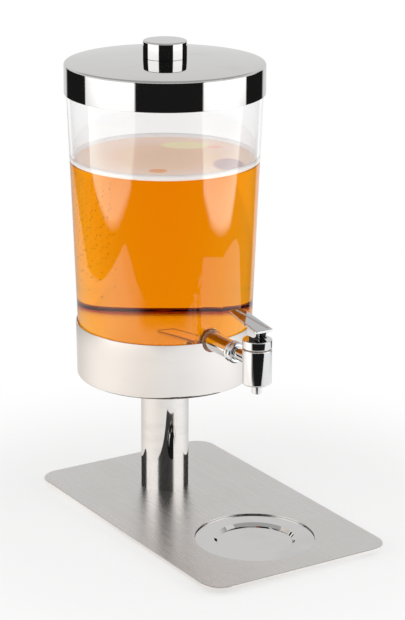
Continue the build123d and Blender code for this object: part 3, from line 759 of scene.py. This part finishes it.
@dataclass
class Container(Part):
    """The clear tapered container with the juice in it."""

    axis_y: float = AXIS_Y
    foot: float = FOOT
    foot_radius: float = FOOT_RADIUS
    taper: float = TAPER
    wall: float = WALL
    floor_top: float = FLOOR_TOP
    floor_radius: float = 0.0025
    pad_reach: float = 0.0892446
    pad_centre: float = PAD_MIDDLE
    pad_rise: float = PAD_RISE
    pad_facing: float = 0.1
    runout: float = 0.0702
    sump_bottom: float = 0.1776
    sump_half_width: float = 0.0156
    sump_depth: float = 0.024
    sump_corner: float = 0.005
    sump_hub: float = 0.1
    sump_rings: int = 8
    sump_steps: int = 14
    sump_around: int = 96
    juice_top: float = JUICE_TOP
    foam_top: float = 0.3620
    foam_climb: float = 0.0040
    foam_rim: float = 0.0028
    soak: float = 0.0003
    hub: float = 0.05
    level_rings: int = 16
    corner_rings: int = 7
    wall_rings: int = 90
    climb_rings: int = 12
    foam_rings: int = 24
    around: int = 360
    bubble_count: int = 340
    bubble_least: float = 0.00036
    bubble_extra: float = 0.00048
    bubble_start: float = -122.0
    bubble_sweep: float = 58.0
    bubble_crowd: float = 1.3
    bubble_low: float = 0.03
    bubble_margin: float = 0.035
    juice: Piece = field(init=False)
    last_juice: Piece = field(init=False)
    foam: Piece = field(init=False)
    bubbles: Piece = field(init=False)

    def inner_radius(self, angle: Array, height: Array) -> Array:
        """Inside radius at an angle from the front and a height.

        It is the cone's radius less the wall, or the pad's plane where that is nearer: plane distance over the
        cosine of the angle. Above its top the plane leans out until it leaves the cone.

        Args:
            angle: Angles from the front, in radians.
            height: Heights.

        Returns:
            The radii, in the shape that the two arrays make together.
        """
        cone = self.foot_radius + self.taper * (height - self.foot)
        over = np.maximum(height - self.pad_centre - self.pad_rise, 0.0)
        plane = self.pad_reach + self.taper * (height - self.pad_centre) + self.runout * over
        facing = np.cos(angle)
        cut = np.where(facing > self.pad_facing, plane / np.maximum(facing, self.pad_facing), np.inf)
        return np.minimum(cone, cut) - self.wall

    def ring(self, radius: Array, height: Array) -> Array:
        """Points round the container's axis, as rings by angles by three, with angle 0 to the front."""
        angle = self.angles()
        return columns(radius * np.sin(angle), self.axis_y - radius * np.cos(angle), height)

    def angles(self) -> Array:
        """Even angles all round, anticlockwise from above."""
        return np.linspace(0.0, 2 * np.pi, self.around, endpoint=False)[None, :]

    def pole(self, height: float) -> Array:
        """The point on the container's axis at a height."""
        return np.array([0.0, self.axis_y, height])

    def build(self) -> None:
        """Pour the juice, lay the foam on it and let bubbles cling to the wall."""
        self.juice = self.pour()
        self.last_juice = self.fill_sump()
        self.foam = self.froth()
        self.bubbles = self.cling()
        for piece in (self.juice, self.last_juice, self.foam, self.bubbles):
            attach(piece, "container")
            log.info("built %s", piece.name)

    def pour(self) -> Piece:
        """The juice: a closed body that fills the container from its floor to the foam.

        Its rings run from the middle of the floor out to the wall, up the wall and back to the middle of the
        top. The lower corner is a quarter circle of the floor's own radius. It reaches a little into the
        plastic, so that no air lies between.

        Returns:
            The piece.
        """
        bottom, top, corner = self.floor_top - self.soak, self.juice_top, self.floor_radius
        out = np.linspace(self.hub, 1.0, self.level_rings)
        turn = np.linspace(0.0, np.pi / 2, self.corner_rings)[1:]
        rise = np.linspace(bottom + corner, top, self.wall_rings)[1:]
        share, inset, height = profile(
            (out, corner, bottom),
            (1.0, corner * (1 - np.sin(turn)), bottom + corner * (1 - np.cos(turn))),
            (1.0, 0.0, rise),
            (out[-2::-1], 0.0, top),
        )
        radius = share * (self.inner_radius(self.angles(), height) + self.soak - inset)
        return ring_mesh("juice", self.ring(radius, height), self.pole(bottom), self.pole(top))

    def fill_sump(self) -> Piece:
        """The juice in the sump: a block with round corners whose front follows the wall.

        A point of its outline is the corner of the smaller rectangle in that quarter plus the corner's radius in
        the point's direction. Where that lies in front of the wall's inside it moves back to it: the wall is the
        nearer of the cone's circle and the pad's plane. It reaches a little into the plastic and the juice above.

        Returns:
            The piece.
        """
        turn = (np.arange(self.sump_around) + 0.5) * 2 * np.pi / self.sump_around
        way = columns(np.cos(turn), np.sin(turn))
        half = np.array([self.sump_half_width, self.sump_depth]) + self.soak
        outline = np.sign(way) * (half - self.sump_corner) + self.sump_corner * way
        bottom, top = self.sump_bottom - self.soak, self.floor_top
        out = np.linspace(self.sump_hub, 1.0, self.sump_rings)
        side = np.linspace(bottom, top, self.sump_steps)[1:-1]
        share, height = profile((out, bottom), (1.0, side), (out[::-1], top))
        plane = self.pad_reach + self.taper * (height - self.pad_centre) - self.wall
        cone = self.foot_radius + self.taper * (height - self.foot) - self.wall
        wall = np.minimum(plane, np.sqrt(cone**2 - outline[:, 0] ** 2)) + self.soak
        back = self.sump_depth - self.pad_reach + self.wall
        along = np.maximum(outline[:, 1] - self.pad_reach + self.wall, -wall)
        middle = (back - self.pad_reach + self.wall) / 2
        rings = columns(share * outline[:, 0], self.axis_y + middle + share * (along - middle), height)
        poles = [np.array([0.0, self.axis_y + middle, end]) for end in (bottom, top)]
        return ring_mesh("juice_in_sump", rings, *poles)

    def froth(self) -> Piece:
        """The foam: a flat disc that climbs the wall at its rim.

        With u from 0 to 1 over the rim's width, the top lies at foam_top + foam_climb * u ** 2, so it leaves the
        level smoothly.

        Returns:
            The piece.
        """
        low = self.juice_top - self.soak
        out = np.linspace(self.hub, 1.0, self.level_rings)
        up = np.linspace(1.0, 0.0, self.climb_rings)
        flat = np.linspace(1.0, self.hub, self.foam_rings)[1:]
        share, inset, height = profile(
            (out, 0.0, low),
            (1.0, self.foam_rim * (1 - up), self.foam_top + self.foam_climb * up**2),
            (flat, self.foam_rim, self.foam_top),
        )
        wall = self.inner_radius(self.angles(), np.array([[self.foam_top]])) + self.soak
        rings = self.ring(share * (wall - inset), height)
        return ring_mesh("juice_foam", rings, self.pole(low), self.pole(self.foam_top))

    def cling(self) -> Piece:
        """Small bubbles on the wall at one side, denser towards the top.

        Bubble i has its angle, its height and its size from the fractions of i times three irrational steps, so
        they spread evenly without a pattern; the square root crowds the heights towards the top.

        Returns:
            The piece.
        """
        index = np.arange(1, self.bubble_count + 1)
        aside, up, large = (np.mod(index * step, 1.0) for step in BUBBLE_STEPS)
        angle = np.radians(self.bubble_start + self.bubble_sweep * aside**self.bubble_crowd)
        depth = self.juice_top - self.floor_top - self.bubble_margin
        height = self.floor_top + self.bubble_low + depth * np.sqrt(up)
        size = self.bubble_least + self.bubble_extra * large
        reach = self.inner_radius(angle, height) - size
        spots = columns(reach * np.sin(angle), self.axis_y - reach * np.cos(angle), height)
        return bead_mesh("juice_bubbles", spots, size)

    def dress(self) -> None:
        """Clear plastic outside, amber inside, foam on top with a paler rim, bubbles at the wall."""
        self.paint(CLEAR_PLASTIC, "container")
        for piece in (self.juice, self.last_juice):
            dress(piece, AMBER_JUICE)
        dress(self.foam, FOAM_TOP, FOAM_RIM)
        dress(self.bubbles, BUBBLE)
        middle = np.empty(len(self.foam.data.polygons) * 3)
        self.foam.data.polygons.foreach_get("center", middle)
        across, along = middle.reshape(-1, 3)[:, :2].T
        reach = np.hypot(across, along - self.axis_y)
        edge = self.inner_radius(np.zeros(1), np.array([self.foam_top]))[0] - self.foam_rim
        self.foam.data.polygons.foreach_set("material_index", (reach > edge).astype(np.int32))


@dataclass
class Tap(Part):
    """Barrel, shank, lever and the valve inside."""

    valve_y: float = -0.09335
    coil_radius: float = 0.006
    wire_radius: float = 0.0005
    wire_sides: int = 12
    coil_turns: int = 6
    coil_steps: int = 48
    coil_bottom: float = 0.1837515
    coil_top: float = 0.2012485
    coil_stop: float = 0.2018
    stem_lift: float = 0.0024
    coil: Piece = field(init=False)

    def build(self) -> None:
        """Wind the valve's spring; the other shapes are the frame's own."""
        self.coil = self.wind()
        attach(self.coil, "container")
        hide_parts("valve_spring")
        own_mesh(self.coil)
        log.info("built %s", self.coil.name)

    def wind(self) -> Piece:
        """The valve's spring: a round wire carried along a helix.

        The helix turns evenly with its rise. A ring of the wire lies across it: outwards times the cosine plus
        the direction across times the sine, where across is the way along turned on to outwards.

        Returns:
            The piece.
        """
        turn = np.linspace(0.0, 2 * np.pi * self.coil_turns, self.coil_steps * self.coil_turns + 1)
        outward = columns(np.cos(turn), np.sin(turn), 0.0)
        climb = (self.coil_top - self.coil_bottom) / (2 * np.pi * self.coil_turns)
        line = self.coil_radius * outward + columns(0.0, self.valve_y, self.coil_bottom + climb * turn)
        along = columns(-self.coil_radius * np.sin(turn), self.coil_radius * np.cos(turn), climb)
        across = np.cross(along / np.linalg.norm(along, axis=-1, keepdims=True), outward)
        round_it = np.linspace(0.0, 2 * np.pi, self.wire_sides, endpoint=False)[None, :, None]
        wire = np.cos(round_it) * outward[:, None] + np.sin(round_it) * across[:, None]
        return ring_mesh("valve_coil", line[:, None] + self.wire_radius * wire, line[0], line[-1])

    def dress(self) -> None:
        """Chrome outside, steel and silicone inside."""
        self.paint(TAP_CHROME, "tap_body", "tap_cap", "lever", "lock_nut")
        self.paint(MILKY_SILICONE, "outer_gasket", "inner_gasket", "cap_seal", "valve_seal")
        self.paint(BLACK_PLASTIC, "lever_core")
        self.paint(PLAIN_STEEL, "valve_stem", "pivot_pin")
        dress(self.coil, SPRING_STEEL)


@dataclass
class Lid(Part):
    """The spun lid and its knob."""

    def dress(self) -> None:
        """Polish the lid and the knob."""
        self.paint(MIRROR_STEEL, "lid_shell", "knob")
        self.paint(PLAIN_STEEL, "knob_washer", "knob_screw")


class Side(Enum):
    """The two soft boxes: the angle each faces from, its light low down, and its outline as reach and height."""

    LEFT = (
        -57.0,
        3.2,
        ((-1.10, -0.097), (-0.25, -0.095), (0.0, -0.085), (0.378, -0.053), (0.54, 0.0), (0.596, 0.08), (0.596, 1.5),
         (-1.10, 1.5)),
    )
    RIGHT = (
        69.0,
        4.1,
        ((-0.50, -0.07), (-0.25, -0.093), (0.42, -0.10), (0.60, -0.06), (0.834, 0.06), (0.834, 1.5), (-0.61, 1.5),
         (-0.61, 0.05)),
    )


@dataclass
class Studio:
    """A white table, two soft boxes beside it, a pale backdrop and the camera.

    A span says where a change begins and ends. An easing says that, and the values before and after it.
    """

    azimuth: float = -32.277
    elevation: float = 17.307
    roll: float = 0.323
    eye: Point = (-1.1298, -1.78235, 0.8782)
    lens: float = 128.1
    sensor: float = 36.0
    table_rim: tuple[Span, ...] = (
        (-180.0, 2.4), (-150.0, 1.5), (-121.0, 1.01), (-109.0, 0.83), (-97.0, 0.795), (-86.0, 0.774), (-76.0, 0.789),
        (-66.0, 0.824), (-57.0, 0.868), (-51.5, 0.905), (-48.0, 0.925), (-46.0, 0.915), (-41.0, 0.866), (-34.0, 0.776),
        (-27.0, 0.727), (-19.0, 0.678), (-12.0, 0.650), (-5.0, 0.633), (5.0, 0.626), (17.0, 0.632), (24.0, 0.648),
        (31.0, 0.675), (42.0, 0.74), (51.0, 0.80), (55.0, 0.82), (59.0, 0.835), (61.5, 0.866), (69.0, 0.870),
        (80.0, 0.892), (90.0, 0.935), (98.0, 0.96), (105.0, 0.92), (110.0, 0.74), (116.0, 0.60), (140.0, 0.60),
        (165.0, 0.9), (180.0, 2.4),
    )
    table_around: int = 240
    table_white: Colour = (0.93, 0.93, 0.93)
    table_shade: Ease = (0.20, 0.46, 0.55, 1.0)
    table_gloss: float = 0.85
    table_beside: Ease = sweep(12.0, 70.0, 1.08, 1.26)
    table_behind: Ease = sweep(80.0, 150.0, 0.0, 0.45)
    table_left: Ease = sweep(-100.0, -63.0, 0.7, 1.32)
    table_right: Ease = sweep(-54.0, 40.0, 0.0, 0.5)
    table_far: Span = (0.50, 0.62)
    table_near_eye: Ease = (0.50, 0.59, 1.0, 0.72)
    table_lip: Span = (0.58, 0.63)
    table_lip_light: Ease = sweep(20.0, 35.0, 0.1, 1.0)
    table_warm: Colour = (1.0, 0.955, 0.91)
    table_warm_side: Span = (-0.25, 0.20)
    box_distance: float = 1.265
    box_light: float = 1.12
    box_knee: Span = (-0.06, 0.08)
    box_rise: Ease = (0.10, 0.20, 0.0, 0.45)
    box_head: float = 0.85
    box_neck: Span = (0.26, 0.40)
    box_foot: Colour = (0.96, 1.05, 0.97)
    box_ankle: Span = (-0.03, 0.06)
    box_fade: float = 0.03
    box_hem: float = 0.012
    fill: float = 0.7
    backdrop: Ease = sweep(144.0, 152.0, 0.012, 0.78)
    backdrop_top: Ease = (0.42, 0.62, 1.0, 0.6)
    wider: Ease = (0.02, 0.15, 0.0, math.radians(45.0))
    widest: Ease = (0.06, 0.16, 0.0, math.radians(110.0))
    narrower: float = math.radians(-14.0)
    through: Ease = sweep(20.0, 60.0, 0.4, 1.15)
    through_behind: Span = (math.radians(145.0), math.radians(170.0))
    through_top: Ease = (0.34, 0.50, 1.0, 0.35)

    def axes(self) -> tuple[Array, Array]:
        """Level directions from the object to the camera and to the right of the picture."""
        across, along = math.cos(math.radians(self.azimuth)), math.sin(math.radians(self.azimuth))
        return np.array([along, -across, 0.0]), np.array([across, along, 0.0])

    def spot(self, towards: Array, right: Array, height: Array) -> Array:
        """Points given by their distance towards the camera, to the right and up, from the column's foot."""
        reaches = zip((towards, right, height), (*self.axes(), UP))
        return sum(reach[..., None] * axis for reach, axis in reaches) + np.array(AXIS)

    def build(self) -> None:
        """Set the table, hang the soft boxes, light the room and place the camera."""
        self.table()
        for side in Side:
            self.soft_box(side)
        self.room()
        self.camera()

    def table(self) -> None:
        """A level sheet with a rounded outline.

        Its rim is given round the column as angles from the camera's side and distances, with straight steps of
        distance over angle between them; its middle is one pole.
        """
        angle, reach = np.array(self.table_rim).T
        turn = np.linspace(-np.pi, np.pi, self.table_around, endpoint=False)
        out = np.interp(turn, np.radians(angle), reach)
        rim = self.spot(out * np.cos(turn), out * np.sin(turn), np.zeros(len(turn)))
        made = ring_mesh("table", rim[None], np.array(AXIS), None)
        made.data.materials.append(self.table_finish())

    def table_finish(self) -> Material:
        """White that takes the object's shadow near it and is plain white further out.

        In reflections it is brighter towards the soft boxes, and a little warm on the left.

        Returns:
            The table's material.
        """
        made, graph = new_graph("stage_table")
        near = graph.ramp(graph.length(graph.place(LEVEL)), *self.table_shade)
        matt = graph.node("BsdfDiffuse", {"Color": self.table_white})[0]
        where = graph.place(centre=AXIS)
        out = graph.length(where)
        ahead, aside = (graph.along(where, axis) for axis in self.axes())
        turn = graph.math("ARCTAN2", aside, ahead)
        either = graph.math("ABSOLUTE", turn)
        far = graph.math("SUBTRACT", graph.ramp(turn, *self.table_left), graph.ramp(turn, *self.table_right))
        sheen = graph.times(
            graph.math("SUBTRACT", graph.ramp(either, *self.table_beside), graph.ramp(either, *self.table_behind)),
            graph.ramp(out, *self.table_far, 1.0, far),
            graph.ramp(ahead, *self.table_near_eye),
            graph.ramp(out, *self.table_lip, 1.0, graph.ramp(either, *self.table_lip_light)),
        )
        mirrored = graph.math("GREATER_THAN", graph.ray("Is Glossy Ray"), graph.ray("Is Transmission Ray"))
        share = graph.math("MAXIMUM", near, graph.times(mirrored, self.table_gloss))
        warm = graph.blend(graph.ramp(aside, *self.table_warm_side), self.table_warm, WHITE)
        glow = graph.glow(graph.blend(mirrored, WHITE, warm), graph.pick(mirrored, 1.0, sheen))
        graph.node("OutputMaterial", {"Surface": graph.mix(share, matt, glow)})
        return made

    def soft_box(self, side: Side) -> None:
        """An upright lit sheet with a narrower foot and a fading rim, out of the camera's sight.

        Its outer ring is dark and its inner ring is lit; both lie a fade's width from the outline. Its head is
        dimmer in a first reflection, such as a lid's or a plate's, than in a reflection of a reflection.

        Args:
            side: Which soft box.
        """
        facing, light, outline = side.value
        turn = math.radians(facing)
        along, height = np.array(outline).T
        out = np.sign(along - along.mean()) * self.box_fade
        up = np.sign(height - height.mean()) * self.box_hem
        along = np.stack([along + out, along - out])
        height = np.stack([height + up, height - up])
        rings = self.spot(
            self.box_distance * math.cos(turn) - along * math.sin(turn),
            self.box_distance * math.sin(turn) + along * math.cos(turn),
            height,
        )
        made = ring_mesh("soft_box_" + side.name.lower(), rings, None, rings[1].mean(axis=0))
        lit = np.concatenate([np.zeros(len(outline)), np.ones(len(outline) + 1)])
        made.data.attributes.new("lit", "FLOAT", "POINT").data.foreach_set("value", lit)
        finish, graph = new_graph("stage_soft_box")
        share = graph.node("Attribute", attribute_name="lit")["Fac"]
        level = graph.split(graph.place())["Z"]
        strength = graph.ramp(level, *self.box_knee, light, self.box_light)
        strength = graph.math("ADD", strength, graph.ramp(level, *self.box_rise))
        head = graph.ramp(level, *self.box_neck, strength, self.box_head)
        strength = graph.pick(graph.once(), strength, head)
        colour = graph.blend(graph.ramp(level, *self.box_ankle), self.box_foot, WHITE)
        glow = graph.glow(colour, graph.times(share, strength))
        graph.node("OutputMaterial", {"Surface": glow})
        finish.cycles.emission_sampling = "NONE"
        made.data.materials.append(finish)
        made.visible_camera = made.visible_shadow = made.visible_transmission = False

    def room(self) -> None:
        """The world: white to the camera, bright through clear pieces, dark beside a pale backdrop in reflections.

        The angle from the camera's side is the arc tangent of a direction's reach to the right over its reach
        towards the camera. The backdrop widens with height in a first reflection, until it goes all round, and is
        narrower in a reflection of a reflection.
        """
        world = bpy.data.worlds.new("studio")
        bpy.context.scene.world = world
        world.use_nodes = True
        graph = Graph(world.node_tree)
        way = graph.node("TexCoord")["Generated"]
        ahead, aside, up = (graph.along(way, axis) for axis in (*self.axes(), UP))
        turn = graph.math("ABSOLUTE", graph.math("ARCTAN2", aside, ahead))
        wide = graph.math("ADD", graph.ramp(up, *self.wider), graph.ramp(up, *self.widest))
        spread = graph.math("ADD", turn, graph.pick(graph.once(), self.narrower, wide))
        mirrored = graph.times(graph.ramp(spread, *self.backdrop), graph.ramp(up, *self.backdrop_top))
        through = graph.ramp(turn, *self.through_behind, graph.ramp(turn, *self.through), 1.0)
        through = graph.times(through, graph.ramp(up, *self.through_top))
        strength = graph.pick(graph.ray("Is Glossy Ray"), self.fill, mirrored)
        strength = graph.pick(graph.ray("Is Transmission Ray"), strength, through)
        strength = graph.pick(graph.ray("Is Camera Ray"), strength, 1.0)
        sky = graph.node("Background", {"Color": WHITE, "Strength": strength})[0]
        graph.node("OutputWorld", {"Surface": sky})

    def camera(self) -> None:
        """A camera at the photographed angle, rolled a little."""
        lift, roll = math.radians(self.elevation), math.radians(self.roll)
        ahead, level = (Vector(axis) for axis in self.axes())
        back = ahead * math.cos(lift) + Vector(UP) * math.sin(lift)
        upright = back.cross(level)
        across = level * math.cos(roll) + upright * math.sin(roll)
        upward = upright * math.cos(roll) - level * math.sin(roll)
        data = bpy.data.cameras.new("camera")
        data.lens, data.sensor_width = self.lens, self.sensor
        made = bpy.data.objects.new("camera", data)
        bpy.context.scene.collection.objects.link(made)
        turned = Matrix((across, upward, back)).transposed().to_4x4()
        made.matrix_world = Matrix.Translation(Vector(self.eye)) @ turned
        bpy.context.scene.camera = made


def main() -> None:
    """Load the frame, build and dress each sub-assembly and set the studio."""
    logging.basicConfig(level=logging.INFO, format="%(name)s: %(message)s")
    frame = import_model()
    nodes = frame["nodes"]
    for part in (Stand(nodes), DripTray(nodes), Container(nodes), Tap(nodes), Lid(nodes)):
        part.build()
        part.dress()
    Studio().build()
    scene = bpy.context.scene
    scene.view_settings.view_transform = "Standard"
    scene.cycles.max_bounces = CLEAR_BOUNCES
    scene.cycles.transmission_bounces = CLEAR_BOUNCES
    scene.cycles.glossy_bounces = MIRROR_BOUNCES
    scene.cycles.transparent_max_bounces = CLEAR_BOUNCES


if __name__ == "__main__":
    main()
